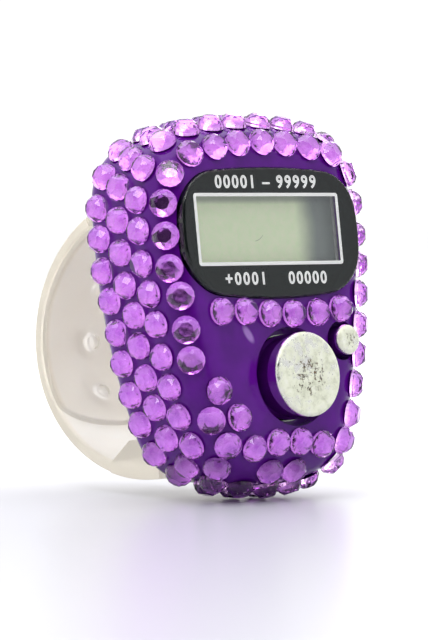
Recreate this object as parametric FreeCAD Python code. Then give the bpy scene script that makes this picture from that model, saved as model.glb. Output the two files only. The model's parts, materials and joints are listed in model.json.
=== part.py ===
"""Hand tally counter worn on a finger: a two-part case covered in stick-on crystals, an LCD behind a
raised window, a count button, a reset button, and a two-piece soft strap that buttons into a ring.

Everything is modelled in the body datum, then leaned back and stood on the table by `main`.
Body datum, in millimetres: origin at the centre of the display on the flat of the front face,
X to the right, Y into the case, Z up along the case.
Row frame: +Z up, origin on the table under the middle of the whole object.
"""
import FreeCAD, Part
import math
import os
import random

V = FreeCAD.Vector

# ---- driving dimensions ------------------------------------------------------------------------
LEAN_DEG = 8.0            # how far the case leans back when it stands on its bottom crystals

CASE_TOP = 11.9           # case outline, seen from the front
CASE_BOTTOM = -28.2       # at the face; the underside rises towards the back by the lean
CASE_HALF_WIDTH = 14.4
CASE_WIDEST_Z = 0.0
CASE_TOP_R = 42.0         # radii of the arcs that make the outline
CASE_SIDE_R = 66.0
CASE_BOTTOM_R = 26.0
CASE_UPPER_CORNER_R = 7.0
CASE_LOWER_CORNER_R = 7.5
CASE_DEPTH = 14.0
FRONT_ROUND = 4.0
TOE_ROUND = 5.5           # the same edge along the bottom
BACK_ROUND = 2.5
PARTING_Y = 8.75          # the plane where the two shells meet
WALL = 1.4
FRONT_WALL = 1.5
BACK_WALL = 1.7
LIP_WIDTH = 0.8           # tongue of the rear shell inside the front shell
LIP_HEIGHT = 1.2
FIT_GAP = 0.05            # clearance between fixed neighbours

WINDOW_HALF_WIDTH = 12.55
WINDOW_TOP = 6.65
WINDOW_BOTTOM = -7.55
WINDOW_WIDEST_Z = -0.4
WINDOW_TOP_R = 90.0
WINDOW_SIDE_R = 22.0
WINDOW_BOTTOM_R = 70.0
WINDOW_UPPER_CORNER_R = 4.9
WINDOW_LOWER_CORNER_R = 5.2
WINDOW_THICK = 1.3
WINDOW_RECESS = 0.8
WINDOW_EDGE_ROUND = 0.35
APERTURE = (20.9, 8.0)    # hole in the case behind the window, width and height
GLASS = (21.2, 10.3)      # front glass of the LCD, width and height
REAR_GLASS_HEIGHT = 8.2
GLASS_THICK = 0.7
GLASS_Y = 2.0
CRADLE = (22.6, 12.2)
CRADLE_CORNER = 1.5
CRADLE_Y = 1.75
CRADLE_LIP = 0.2
BOARD_Y = 5.2
BOARD_THICK = 1.0
BOARD_INSET = 2.0
STRIP_HEIGHT = 0.9

COUNT_AT = (1.5, -16.0)
COUNT_R = 4.6
COUNT_WELL_R = 5.37
COUNT_PROUD = 2.5
COUNT_FLANGE_R = 5.5
COUNT_TRAVEL = 0.9
RESET_AT = (9.0, -12.3)
RESET_R = 1.66
RESET_WELL_R = 2.15
RESET_PROUD = 1.25
RESET_FLANGE_R = 2.3
WELL_DEPTH = 1.7
BUTTON_SEAT_Y = 3.0       # underside of the bosses that hold the buttons' flanges
FLANGE_THICK = 0.6
FLANGE_ROOM = 0.15        # round a flange, inside the case
SHAFT_GAP = 0.12

CELL_AT = (0.0, -7.2)
CELL_R = 5.8              # LR1130 button cell, 11.6 by 3.05
CELL_THICK = 3.05
CELL_Y = 8.55
CUP_R = 6.0
CUP_WALL = 1.0
DOOR = (13.4, 18.4)       # battery door plate, width and height
DOOR_CENTRE_Z = -9.8
DOOR_THICK = 1.0
DOOR_SCREW_Z = -17.0

CASE_SCREWS = [(-8.2, 7.9), (8.2, 7.9), (-7.8, -19.2), (7.8, -19.2)]
BOARD_SCREWS = [(-10.7, -7.7), (10.7, -7.7)]
CASE_SCREW_R = 0.7
CASE_SCREW_HEAD_R = 1.15
BOARD_SCREW_R = 0.55
BOSS_R = 1.4

STRAP_WIDTH = 14.0
STRAP_CENTRE_Z = -9.8     # the closed strap follows half an ellipse behind the case
STRAP_REACH = 19.5        # from the back of the case to the outside of the strap
STRAP_HALF_HEIGHT = 15.7
HOLED_THICK = 1.3
KNOBBED_THICK = 0.75
LAYER_GAP = 0.04
HOLE_R = 1.3
HOLED_SPAN = (26.0, 179.0)   # where each layer runs, in degrees along the ellipse, 0 at its top
KNOBBED_SPAN = (5.0, 128.0)
BRIDGE_SPAN = (2.0, 20.0)    # the thick part of the upper strap, which fills both layers
HOLE_ANGLES = [60.0, 85.5, 109.5]
BUTTONED_HOLES = HOLE_ANGLES[1:]   # the holes that the two knobs sit in
KNOB_HEAD = (1.85, 1.0, 0.7)       # radii at the strap and at the tip, and height
DIMPLE = (0.8, 0.35)               # radius and depth of the moulded hollow behind each knob
HOLED_TIP = 0.25          # a free end is half an ellipse, this much as long as a half circle
KNOBBED_TIP = 0.55
ROOT_BLOCK = (4.4, 4.6)   # depth and height of the thick end that stands on the case
ROOT_TAPER = 3.6          # how much further back its thickness runs out
ROOT_RUN_OUT_HEIGHT = 2.4
STRAP_SEAT = 0.2          # depth of the seats in the case's back under the thick ends
ROOT_NECK_HEIGHT = 1.8
ROOT_NECK_WIDTH = 10.0
ROOT_NECK_INSET = 3.6     # from the outside of the strap to the middle of the neck
ROOT_FLANGE = (11.4, 1.0) # width and thickness inside the case
ROOT_FLANGE_OVERHANG = 0.45

CRYSTAL_R = 1.52
CRYSTAL_GIRDLE = 0.42
CRYSTAL_CROWN = 0.86
CRYSTAL_TABLE_R = 0.72
CRYSTAL_SIDES = 12
CRYSTAL_PITCH = 3.36      # along a row
ROW_PITCH = 3.30          # from one row to the next, measured over the case's surface
FIRST_ROW = 2.79          # from the flat of the face to the first row
ROWS = 4
TOP_SHIFT = -1.3          # how much further over the section the rows lie along the top,
BOTTOM_SHIFT = -1.6       # along the bottom,
LOW_LEFT_SHIFT = 0.5      # on the lower left side,
WINDOW_SHIFT = 0.75       # and beside the window
CLOSEST = 2.9             # no two crystals are nearer than this, centre to centre
GLUE_GAP = 0.03
FACING_UP_DOWN = 0.72     # how steeply a crystal faces up or down to belong to the top or bottom group

UNDER_WINDOW = [(-8.1, -8.8), (-4.7, -9.0), (-1.3, -9.15), (2.1, -9.15), (5.6, -9.2), (9.0, -8.7)]
LOW_LEFT_CLUSTER = [(-9.3, -17.1), (-10.8, -20.6), (-7.0, -20.3)]
FACE_CRYSTALS = UNDER_WINDOW + LOW_LEFT_CLUSTER


# ---- outlines made of arcs -------------------------------------------------------------------------
def circles_meet(c1, r1, c2, r2, prefer):
    """The point where two circles in the XZ plane meet, on the side nearest to `prefer`."""
    dx, dz = c2[0] - c1[0], c2[1] - c1[1]
    d = math.hypot(dx, dz)
    a = (r1 * r1 - r2 * r2 + d * d) / (2 * d)
    h = math.sqrt(r1 * r1 - a * a)
    found = [(c1[0] + (a * dx + k * h * dz) / d, c1[1] + (a * dz - k * h * dx) / d) for k in (1, -1)]
    return min(found, key=lambda p: math.dist(p, prefer))


def pillow(half_width, widest_z, top, bottom, top_r, side_r, bottom_r, upper_r, lower_r):
    """A symmetric outline of arcs, each (centre, radius, start, end) in radians, clockwise from the top."""
    top_c, bottom_c = (0.0, top - top_r), (0.0, bottom + bottom_r)
    side_c = (half_width - side_r, widest_z)
    upper_c = circles_meet(top_c, top_r - upper_r, side_c, side_r - upper_r, (half_width, top))
    lower_c = circles_meet(bottom_c, bottom_r - lower_r, side_c, side_r - lower_r, (half_width, bottom))

    def towards(a, b):
        return math.atan2(b[1] - a[1], b[0] - a[0])

    a1, a2 = towards(top_c, upper_c), towards(side_c, upper_c)
    a3, a4 = towards(side_c, lower_c), towards(bottom_c, lower_c)
    right = [
        (top_c, top_r, math.pi / 2, a1),
        (upper_c, upper_r, a1, a2),
        (side_c, side_r, a2, a3),
        (lower_c, lower_r, a3, a4),
        (bottom_c, bottom_r, a4, -math.pi / 2),
    ]
    left = [((-c[0], c[1]), r, math.pi - e, math.pi - s) for c, r, s, e in reversed(right)]
    return right + left


def case_outline(y):
    """The case's outline at a depth behind the face. Its bottom rises with the lean."""
    bottom = CASE_BOTTOM + y * math.tan(math.radians(LEAN_DEG))
    return pillow(CASE_HALF_WIDTH, CASE_WIDEST_Z, CASE_TOP, bottom, CASE_TOP_R, CASE_SIDE_R,
                  CASE_BOTTOM_R, CASE_UPPER_CORNER_R, CASE_LOWER_CORNER_R)


def window_outline():
    return pillow(WINDOW_HALF_WIDTH, WINDOW_WIDEST_Z, WINDOW_TOP, WINDOW_BOTTOM, WINDOW_TOP_R, WINDOW_SIDE_R,
                  WINDOW_BOTTOM_R, WINDOW_UPPER_CORNER_R, WINDOW_LOWER_CORNER_R)


def outline_wire(arcs, inset, y):
    """A closed wire in the plane at y, with every arc of the outline moved inwards by `inset`."""
    edges = []
    for centre, radius, start, end in arcs:
        r = radius - inset
        ends = [V(centre[0] + r * math.cos(a), y, centre[1] + r * math.sin(a))
                for a in (start, (start + end) / 2, end)]
        edges.append(Part.Arc(*ends).toShape())
    return Part.Wire(Part.__sortEdges__(edges))


def prism(arcs, inset, y0, y1):
    return Part.Face(outline_wire(arcs, inset, y0)).extrude(V(0, y1 - y0, 0))


def case_prism(inset, y0, y1):
    """A solid that follows the case's outline from one depth to another."""
    wires = [outline_wire(case_outline(y), inset, y) for y in (y0, y1)]
    return Part.makeLoft(wires, True, True)


def outline_length(arcs, inset=0.0):
    return sum((radius - inset) * abs(end - start) for _, radius, start, end in arcs)


def arc_at(arcs, distance):
    """(number of the arc, part of it passed) at a distance along the outline."""
    distance %= outline_length(arcs)
    for number, (_, radius, start, end) in enumerate(arcs):
        length = radius * abs(end - start)
        if distance <= length:
            return number, distance / length
        distance -= length
    return len(arcs) - 1, 1.0


def arc_point(arcs, number, part):
    """The point and the outward normal in XZ, partway along one arc."""
    centre, radius, start, end = arcs[number]
    a = start + (end - start) * part
    n = (math.cos(a), math.sin(a))
    return (centre[0] + radius * n[0], centre[1] + radius * n[1]), n


# ---- small helpers -----------------------------------------------------------------------------------
def box(x0, x1, y0, y1, z0, z1):
    return Part.makeBox(x1 - x0, y1 - y0, z1 - z0, V(x0, y0, z0))


def slab(width, height, y0, y1, centre=(0.0, 0.0), corner=0.0):
    """A plate facing the front, with rounded corners."""
    shape = box(centre[0] - width / 2, centre[0] + width / 2, y0, y1,
                centre[1] - height / 2, centre[1] + height / 2)
    if corner:
        upright = [e for e in shape.Edges if e.BoundBox.YLength > (y1 - y0) * 0.9]
        shape = shape.makeFillet(corner, upright)
    return shape


def rod(at, radius, y0, y1):
    """A cylinder along Y."""
    return Part.makeCylinder(radius, y1 - y0, V(at[0], y0, at[1]), V(0, 1, 0))


def cone(at, r0, r1, y0, y1):
    return Part.makeCone(r0, r1, y1 - y0, V(at[0], y0, at[1]), V(0, 1, 0))


def edges_at(shape, y, tolerance=1e-4):
    return [e for e in shape.Edges
            if abs(e.BoundBox.YMin - y) < tolerance and abs(e.BoundBox.YMax - y) < tolerance]


def fuse(*shapes):
    whole = shapes[0].multiFuse(list(shapes[1:])).removeSplitter()
    return whole


def cut(shape, *tools):
    return shape.cut(list(tools))


# ---- the case ------------------------------------------------------------------------------------------
def front_round_at(number, part):
    """The rounding of the front edge: it grows along the lower corners, arcs 3 and 6."""
    grown = {3: part, 4: 1.0, 5: 1.0, 6: 1.0 - part}.get(number, 0.0)
    return FRONT_ROUND + (TOE_ROUND - FRONT_ROUND) * grown


def front_round_near(outline, point, inset):
    """The rounding of the front edge at one of the outline's corners between arcs."""
    def distance(number):
        (x, z), n = arc_point(outline, number, 0.0)
        return math.dist((x - inset * n[0], z - inset * n[1]), (point.x, point.z))
    return front_round_at(min(range(len(outline)), key=distance), 0.0)


def case_block(inset, y0, y1):
    """The case's outer form, or its inner form at an inset, with the edges rounded."""
    block = case_prism(inset, y0, y1)
    block = block.makeFillet(BACK_ROUND - inset, edges_at(block, y1))
    document = FreeCAD.newDocument()
    base = document.addObject("Part::Feature", "base")
    base.Shape = block
    rounding = document.addObject("Part::Fillet", "rounding")
    rounding.Base = base
    outline = case_outline(y0)
    radii = []
    for index, edge in enumerate(block.Edges, 1):
        if abs(edge.BoundBox.YMin - y0) > 1e-4 or abs(edge.BoundBox.YMax - y0) > 1e-4:
            continue
        ends = [edge.valueAt(t) for t in (edge.FirstParameter, edge.LastParameter)]
        radii.append((index, *[front_round_near(outline, end, inset) - inset for end in ends]))
    rounding.Edges = radii
    document.recompute()
    shape = rounding.Shape.copy()
    FreeCAD.closeDocument(document.Name)
    return shape


def front_shell():
    outer = case_block(0, 0, CASE_DEPTH)
    inner = case_block(WALL, FRONT_WALL, CASE_DEPTH - BACK_WALL)
    front_half = box(-40, 40, -5, PARTING_Y, -50, 50)
    shell = outer.common(front_half).cut(inner)

    bosses = [rod(COUNT_AT, COUNT_WELL_R + 1.0, FRONT_WALL - 0.2, BUTTON_SEAT_Y),
              rod(RESET_AT, RESET_WELL_R + 0.9, FRONT_WALL - 0.2, BUTTON_SEAT_Y)]
    posts = [rod(p, BOSS_R, FRONT_WALL - 0.2, PARTING_Y) for p in CASE_SCREWS]
    posts += [rod(p, BOSS_R, FRONT_WALL - 0.2, BOARD_Y - FIT_GAP) for p in BOARD_SCREWS]
    # the bosses and posts are trimmed to the case so that none of them shows outside
    shell = fuse(shell, *[b.common(outer) for b in bosses + posts])

    aperture = slab(APERTURE[0], APERTURE[1], -1, FRONT_WALL + 1, corner=0.5)
    recess = prism(window_outline(), -FIT_GAP, -1, WINDOW_RECESS)
    wells = [rod(COUNT_AT, COUNT_WELL_R, -1, WELL_DEPTH), rod(RESET_AT, RESET_WELL_R, -1, WELL_DEPTH)]
    shafts = [rod(COUNT_AT, COUNT_R + SHAFT_GAP, 0, BUTTON_SEAT_Y + 1),
              rod(RESET_AT, RESET_R + SHAFT_GAP, 0, BUTTON_SEAT_Y + 1)]
    rooms = [rod(COUNT_AT, COUNT_FLANGE_R + FLANGE_ROOM, BUTTON_SEAT_Y, BOARD_Y),
             rod(RESET_AT, RESET_FLANGE_R + FLANGE_ROOM, BUTTON_SEAT_Y, BOARD_Y)]
    holes = [rod(p, CASE_SCREW_R + 0.01, 3.2, PARTING_Y + 1) for p in CASE_SCREWS]
    holes += [rod(p, BOARD_SCREW_R + 0.01, 2.6, BOARD_Y) for p in BOARD_SCREWS]
    return cut(shell, aperture, recess, *wells, *shafts, *rooms, *holes)


def strap_slots(grow=0.0):
    """The openings in the back of the case that the strap's necks pass through."""
    half = ROOT_NECK_WIDTH / 2 + grow
    return [box(-half, half, CASE_DEPTH - BACK_WALL - 1, CASE_DEPTH + 1,
                z - ROOT_NECK_HEIGHT / 2 - grow, z + ROOT_NECK_HEIGHT / 2 + grow)
            for z in (neck_z(1), neck_z(-1))]


def strap_seats():
    """Shallow seats under the strap's thick ends, open towards the top and the bottom of the case."""
    half = STRAP_WIDTH / 2 + 0.2
    reach = STRAP_HALF_HEIGHT - ROOT_BLOCK[1] - 0.2
    y = CASE_DEPTH - STRAP_SEAT
    return [box(-half, half, y, CASE_DEPTH + 1, STRAP_CENTRE_Z + reach, 40),
            box(-half, half, y, CASE_DEPTH + 1, -60, STRAP_CENTRE_Z - reach)]


def rear_shell():
    outer = case_block(0, 0, CASE_DEPTH)
    inner = case_block(WALL, FRONT_WALL, CASE_DEPTH - BACK_WALL)
    rear_half = box(-40, 40, PARTING_Y, CASE_DEPTH + 5, -50, 50)
    shell = outer.common(rear_half).cut(inner)

    lip_y = PARTING_Y - LIP_HEIGHT
    tongue = case_prism(WALL + FIT_GAP, lip_y, PARTING_Y + 0.3).cut(
        case_prism(WALL + LIP_WIDTH, lip_y - 1, PARTING_Y + 1))
    root = case_prism(WALL - 0.3, PARTING_Y, PARTING_Y + 0.3).cut(
        case_prism(WALL + LIP_WIDTH, PARTING_Y - 1, PARTING_Y + 1))
    tongue = tongue.cut([rod(p, BOSS_R + 0.15, lip_y - 1, PARTING_Y) for p in CASE_SCREWS])
    inside = CASE_DEPTH - BACK_WALL + 0.2
    posts = [rod(p, BOSS_R, PARTING_Y + FIT_GAP, inside) for p in CASE_SCREWS]
    cup = rod(CELL_AT, CUP_R + CUP_WALL, CELL_Y, inside)
    door_post = rod((0, DOOR_SCREW_Z), BOSS_R + 0.2, PARTING_Y + 0.6, inside)
    shell = fuse(shell, tongue, root, cup, door_post, *[p.common(outer) for p in posts])

    door_seat = slab(DOOR[0] + 2 * FIT_GAP, DOOR[1] + 2 * FIT_GAP, CASE_DEPTH - DOOR_THICK, CASE_DEPTH + 1,
                     (0, DOOR_CENTRE_Z), corner=3.0)
    well = rod(CELL_AT, CUP_R, CELL_Y - 1, CASE_DEPTH)
    contact_way = box(CELL_AT[0] + CELL_R - 0.6, CELL_AT[0] + CUP_R + CUP_WALL + 0.5, CELL_Y - 1,
                      CELL_Y + CELL_THICK - 0.4, CELL_AT[1] - 1.9, CELL_AT[1] + 1.9)
    holes = [rod(p, CASE_SCREW_R + 0.2, PARTING_Y - 1, CASE_DEPTH) for p in CASE_SCREWS]
    heads = [rod(p, CASE_SCREW_HEAD_R + 0.15, CASE_DEPTH - 1.2, CASE_DEPTH + 1) for p in CASE_SCREWS]
    door_hole = rod((0, DOOR_SCREW_Z), CASE_SCREW_R + 0.05, PARTING_Y, CASE_DEPTH)
    return cut(shell, door_seat, well, contact_way, door_hole, *holes, *heads, *strap_slots(FIT_GAP),
               *strap_seats())


# ---- the display -------------------------------------------------------------------------------------
def display_window():
    plate = prism(window_outline(), 0, WINDOW_RECESS - WINDOW_THICK - 0.02, WINDOW_RECESS - 0.02)
    return plate.makeFillet(WINDOW_EDGE_ROUND, edges_at(plate, WINDOW_RECESS - WINDOW_THICK - 0.02))


def display_cradle():
    """The frame that holds the LCD and its rubber connectors square to the window."""
    body = slab(CRADLE[0], CRADLE[1], CRADLE_Y, BOARD_Y - FIT_GAP, corner=CRADLE_CORNER)
    pocket = slab(GLASS[0] + 0.2, GLASS[1] + 0.2, CRADLE_Y + CRADLE_LIP, BOARD_Y + 1)
    mouth = slab(APERTURE[0], APERTURE[1], CRADLE_Y - 1, CRADLE_Y + 1)
    return cut(body, pocket, mouth)


def lcd_glass():
    front = slab(GLASS[0], GLASS[1], GLASS_Y, GLASS_Y + GLASS_THICK)
    rear = slab(GLASS[0], REAR_GLASS_HEIGHT, GLASS_Y + GLASS_THICK, GLASS_Y + 2 * GLASS_THICK)
    return Part.makeCompound([front, rear])


def lcd_reflector():
    y = GLASS_Y + 2 * GLASS_THICK
    return slab(GLASS[0] - 0.3, REAR_GLASS_HEIGHT - 0.2, y, y + 0.15)


def contact_strips():
    z = (GLASS[1] - STRIP_HEIGHT) / 2
    y = GLASS_Y + GLASS_THICK
    return Part.makeCompound([slab(GLASS[0] - 1.4, STRIP_HEIGHT, y, BOARD_Y, (0, k * z)) for k in (1, -1)])


# ---- electronics ------------------------------------------------------------------------------------
def circuit_board():
    board = prism(case_outline(BOARD_Y + BOARD_THICK), BOARD_INSET, BOARD_Y, BOARD_Y + BOARD_THICK)
    board = cut(board, box(-40, 40, 0, 20, 9.2, 40), box(-40, 40, 0, 20, -50, -23.4),
                *[rod(p, BOSS_R + 0.25, 0, 20) for p in CASE_SCREWS],
                *[rod(p, BOARD_SCREW_R + 0.15, 0, 20) for p in BOARD_SCREWS])
    return board


def chip_blob():
    """The drop of black resin over the counter chip, on the back of the board."""
    y = BOARD_Y + BOARD_THICK
    ball_r = 4.2
    ball = Part.makeSphere(ball_r, V(-0.5, y - ball_r + 1.2, 4.2))
    return ball.common(box(-40, 40, y, y + 5, -50, 50))


def chip_parts():
    """Two capacitors and two resistors soldered beside the chip."""
    y = BOARD_Y + BOARD_THICK
    places = [(6.3, 5.2, 0.9, 0.7), (6.3, 2.6, 0.9, 0.7), (-7.4, 3.8, 0.8, 0.5), (-7.4, 1.8, 0.8, 0.5)]
    return Part.makeCompound([slab(2 * half, half, y, y + tall, (x, z)) for x, z, half, tall in places])


def button_cell():
    can = rod(CELL_AT, CELL_R, CELL_Y + 0.4, CELL_Y + CELL_THICK)
    can = can.makeFillet(0.35, edges_at(can, CELL_Y + CELL_THICK))
    cap = cone(CELL_AT, CELL_R - 1.0, CELL_R - 0.6, CELL_Y, CELL_Y + 0.4)
    return fuse(can, cap)


def negative_contact():
    """A leaf spring on the board that presses on the small face of the cell."""
    t, half = 0.2, 1.4
    y = BOARD_Y + BOARD_THICK
    x, z = CELL_AT
    path = [(-3.6, y), (-0.8, y), (-0.8, y + t), (-3.2, y + t), (-3.2, y + 0.35), (2.4, CELL_Y - t - 0.02),
            (3.4, CELL_Y - t - 0.02), (3.4, CELL_Y - 0.02), (2.35, CELL_Y - 0.02), (-3.6, y + 0.5)]
    points = [V(x + px, py, z - half) for px, py in path]
    return Part.Face(Part.makePolygon(points + points[:1])).extrude(V(0, 0, 2 * half))


def positive_contact():
    """A clip that stands on the board and touches the side of the cell's can."""
    t, half = 0.22, 1.5
    y = BOARD_Y + BOARD_THICK
    x, z = CELL_AT[0] + CELL_R, CELL_AT[1]
    top = CELL_Y + CELL_THICK - 0.6
    path = [(2.2, y), (0.25, y), (0.02, top), (0.02 + t, top), (0.25 + t, y + t), (2.2, y + t)]
    points = [V(x + px, py, z - half) for px, py in path]
    return Part.Face(Part.makePolygon(points + points[:1])).extrude(V(0, 0, 2 * half))


# ---- buttons -----------------------------------------------------------------------------------------
def push_button(at, radius, proud, flange_r, edge, dish):
    """A plated cap on a shaft, with the flange that stops it from falling out of the case."""
    cap = rod(at, radius, -proud, BUTTON_SEAT_Y + 0.1)
    cap = cap.makeFillet(edge, edges_at(cap, -proud))
    flange = rod(at, flange_r, BUTTON_SEAT_Y + FIT_GAP, BUTTON_SEAT_Y + FIT_GAP + FLANGE_THICK)
    plunger = rod(at, radius * 0.35, BUTTON_SEAT_Y + 0.3, BUTTON_SEAT_Y + FLANGE_THICK + 0.15)
    button = fuse(cap, flange, plunger)
    core_y = -proud + dish
    core = rod(at, radius * 0.72, core_y + 1.0, BUTTON_SEAT_Y - 0.1)
    return button.cut(core.cut(rod(at, radius * 0.35, core_y, BUTTON_SEAT_Y)))


def count_button():
    return push_button(COUNT_AT, COUNT_R, COUNT_PROUD, COUNT_FLANGE_R, 0.45, 0.2)


def reset_button():
    cap = rod(RESET_AT, RESET_R, -RESET_PROUD, BUTTON_SEAT_Y + 0.1)
    cap = cap.makeFillet(0.55, edges_at(cap, -RESET_PROUD))
    flange = rod(RESET_AT, RESET_FLANGE_R, BUTTON_SEAT_Y + FIT_GAP, BUTTON_SEAT_Y + FIT_GAP + FLANGE_THICK)
    return fuse(cap, flange)


def rubber_dome(at, base_r, top_r):
    """A hollow silicone dome that pushes the button back and carries the contact pill."""
    top_y = BUTTON_SEAT_Y + FLANGE_THICK + 0.2
    foot = rod(at, base_r + 0.5, BOARD_Y - 0.4, BOARD_Y)
    dome = cone(at, top_r, base_r, top_y, BOARD_Y)
    hollow = cone(at, top_r - 0.5, base_r - 0.5, top_y + 0.6, BOARD_Y)
    return cut(fuse(foot, dome), hollow)


def count_dome():
    return rubber_dome(COUNT_AT, 3.0, 1.9)


def reset_dome():
    return rubber_dome(RESET_AT, 1.6, 1.1)


# ---- fasteners ---------------------------------------------------------------------------------------
def screw(at, radius, head_r, head_y, head_thick, tip_y):
    """A pan-head screw driven from the back, with a cross recess in its head."""
    head = rod(at, head_r, head_y, head_y + head_thick)
    head = head.makeFillet(head_thick * 0.4, edges_at(head, head_y + head_thick))
    shank = rod(at, radius, tip_y + radius, head_y + 0.1)
    tip = cone(at, radius * 0.25, radius, tip_y, tip_y + radius)
    arm, width, deep = head_r * 0.62, head_r * 0.2, head_thick * 0.55
    top = head_y + head_thick
    cross = [box(at[0] - a, at[0] + a, top - deep, top + 1, at[1] - b, at[1] + b)
             for a, b in ((arm, width), (width, arm))]
    return fuse(head, shank, tip).cut(cross)


def case_screws():
    return Part.makeCompound([screw(p, CASE_SCREW_R, CASE_SCREW_HEAD_R, CASE_DEPTH - 1.15, 0.7, 4.0)
                              for p in CASE_SCREWS])


def board_screws():
    y = BOARD_Y + BOARD_THICK
    return Part.makeCompound([screw(p, BOARD_SCREW_R, 1.0, y + 0.02, 0.5, 3.0) for p in BOARD_SCREWS])


def battery_door():
    y = CASE_DEPTH - DOOR_THICK
    plate = slab(DOOR[0], DOOR[1], y + 0.02, CASE_DEPTH, (0, DOOR_CENTRE_Z), corner=3.0)
    plate = plate.makeFillet(0.2, edges_at(plate, CASE_DEPTH))
    plug = rod(CELL_AT, CUP_R - 0.15, CELL_Y + CELL_THICK + 0.05, y + 0.1)
    grips = [box(-3.0, 3.0, CASE_DEPTH - 0.3, CASE_DEPTH + 1, z, z + 0.5) for z in (-2.2, -3.3, -4.4)]
    head = cone((0, DOOR_SCREW_Z), CASE_SCREW_R + 0.1, 1.65, CASE_DEPTH - 0.8, CASE_DEPTH)
    head = fuse(head, rod((0, DOOR_SCREW_Z), 1.65, CASE_DEPTH - 0.01, CASE_DEPTH + 1))
    shank = rod((0, DOOR_SCREW_Z), CASE_SCREW_R + 0.1, y - 1, CASE_DEPTH)
    return cut(fuse(plate, plug), head, shank, *grips)


def door_screw():
    at = (0, DOOR_SCREW_Z)
    head = cone(at, CASE_SCREW_R, 1.55, CASE_DEPTH - 0.75, CASE_DEPTH - 0.05)
    shank = rod(at, CASE_SCREW_R, PARTING_Y + 1.9, CASE_DEPTH - 0.7)
    tip = cone(at, CASE_SCREW_R * 0.25, CASE_SCREW_R, PARTING_Y + 1.1, PARTING_Y + 1.9)
    cross = [box(-a, a, CASE_DEPTH - 0.5, CASE_DEPTH + 1, DOOR_SCREW_Z - b, DOOR_SCREW_Z + b)
             for a, b in ((0.95, 0.2), (0.2, 0.95))]
    return fuse(head, shank, tip).cut(cross)


# ---- the strap ---------------------------------------------------------------------------------------
def neck_z(side):
    """Height of the middle of a strap end's neck, on the upper (1) or lower (-1) side."""
    return STRAP_CENTRE_Z + side * (STRAP_HALF_HEIGHT - ROOT_NECK_INSET)


def ellipse_point(inset, angle_deg):
    """A point (y, z) of the strap's profile, `inset` inside its outer ellipse, 0 degrees at the top."""
    a = math.radians(angle_deg)
    return (CASE_DEPTH + (STRAP_REACH - inset) * math.sin(a),
            STRAP_CENTRE_Z + (STRAP_HALF_HEIGHT - inset) * math.cos(a))


def ellipse_arc(inset, start_deg, end_deg, x):
    """The profile's edge between two angles."""
    major, minor = STRAP_REACH - inset, STRAP_HALF_HEIGHT - inset
    centre = V(x, CASE_DEPTH, STRAP_CENTRE_Z)
    ellipse = Part.Ellipse(centre + V(0, major, 0), centre + V(0, 0, minor), centre)
    return Part.ArcOfEllipse(ellipse, math.radians(90 - end_deg), math.radians(90 - start_deg)).toShape()


def band(outer_inset, thick, start_deg, end_deg):
    """A strip of the strap between two angles of the ellipse."""
    x = -STRAP_WIDTH / 2
    outside = ellipse_arc(outer_inset, start_deg, end_deg, x)
    inside = ellipse_arc(outer_inset + thick, start_deg, end_deg, x)
    caps = [Part.makeLine(V(x, *ellipse_point(outer_inset, a)), V(x, *ellipse_point(outer_inset + thick, a)))
            for a in (start_deg, end_deg)]
    wire = Part.Wire(Part.__sortEdges__([outside, inside, *caps]))
    return Part.Face(wire).extrude(V(STRAP_WIDTH, 0, 0))


def loop_fill():
    """Everything inside the closed strap's outer profile, and the strap seats in front of it."""
    x = -STRAP_WIDTH / 2
    back = Part.makeLine(V(x, *ellipse_point(0, 180)), V(x, *ellipse_point(0, 0)))
    wire = Part.Wire(Part.__sortEdges__([ellipse_arc(0, 0, 180, x), back]))
    loop = Part.Face(wire).extrude(V(STRAP_WIDTH, 0, 0))
    seats = box(x, -x, CASE_DEPTH - STRAP_SEAT, CASE_DEPTH, STRAP_CENTRE_Z - STRAP_HALF_HEIGHT,
                STRAP_CENTRE_Z + STRAP_HALF_HEIGHT)
    return fuse(loop, seats)


def strap_frame(inset, angle_deg):
    """A point of the strap's profile with the directions outwards and along the strap there."""
    a = math.radians(angle_deg)
    out = V(0, math.sin(a) * STRAP_HALF_HEIGHT, math.cos(a) * STRAP_REACH).normalize()
    return V(0, *ellipse_point(inset, angle_deg)), out, out.cross(V(1, 0, 0))


def rounded_tip(angle_deg, side, squashed):
    """A cutter that rounds the strap's free end; side is 1 where the strap ends at the larger angle."""
    point, out, along = strap_frame(1.0, angle_deg)
    along = along * side
    half, deep = STRAP_WIDTH / 2, 8.0
    middle = point - along * half * squashed
    turn = FreeCAD.Rotation(V(1, 0, 0), along, out, "XYZ")
    block = Part.makeBox(2 * half + 2, 12, deep)
    block.Placement = FreeCAD.Placement(middle - V(half + 1, 0, 0) - out * deep / 2, turn)
    squash = FreeCAD.Matrix()
    squash.scale(1.0, squashed, 1.0)
    keep = Part.makeCylinder(half, deep).transformGeometry(squash)
    keep.Placement = FreeCAD.Placement(middle - out * deep / 2, turn)
    return block.cut(keep)


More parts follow.
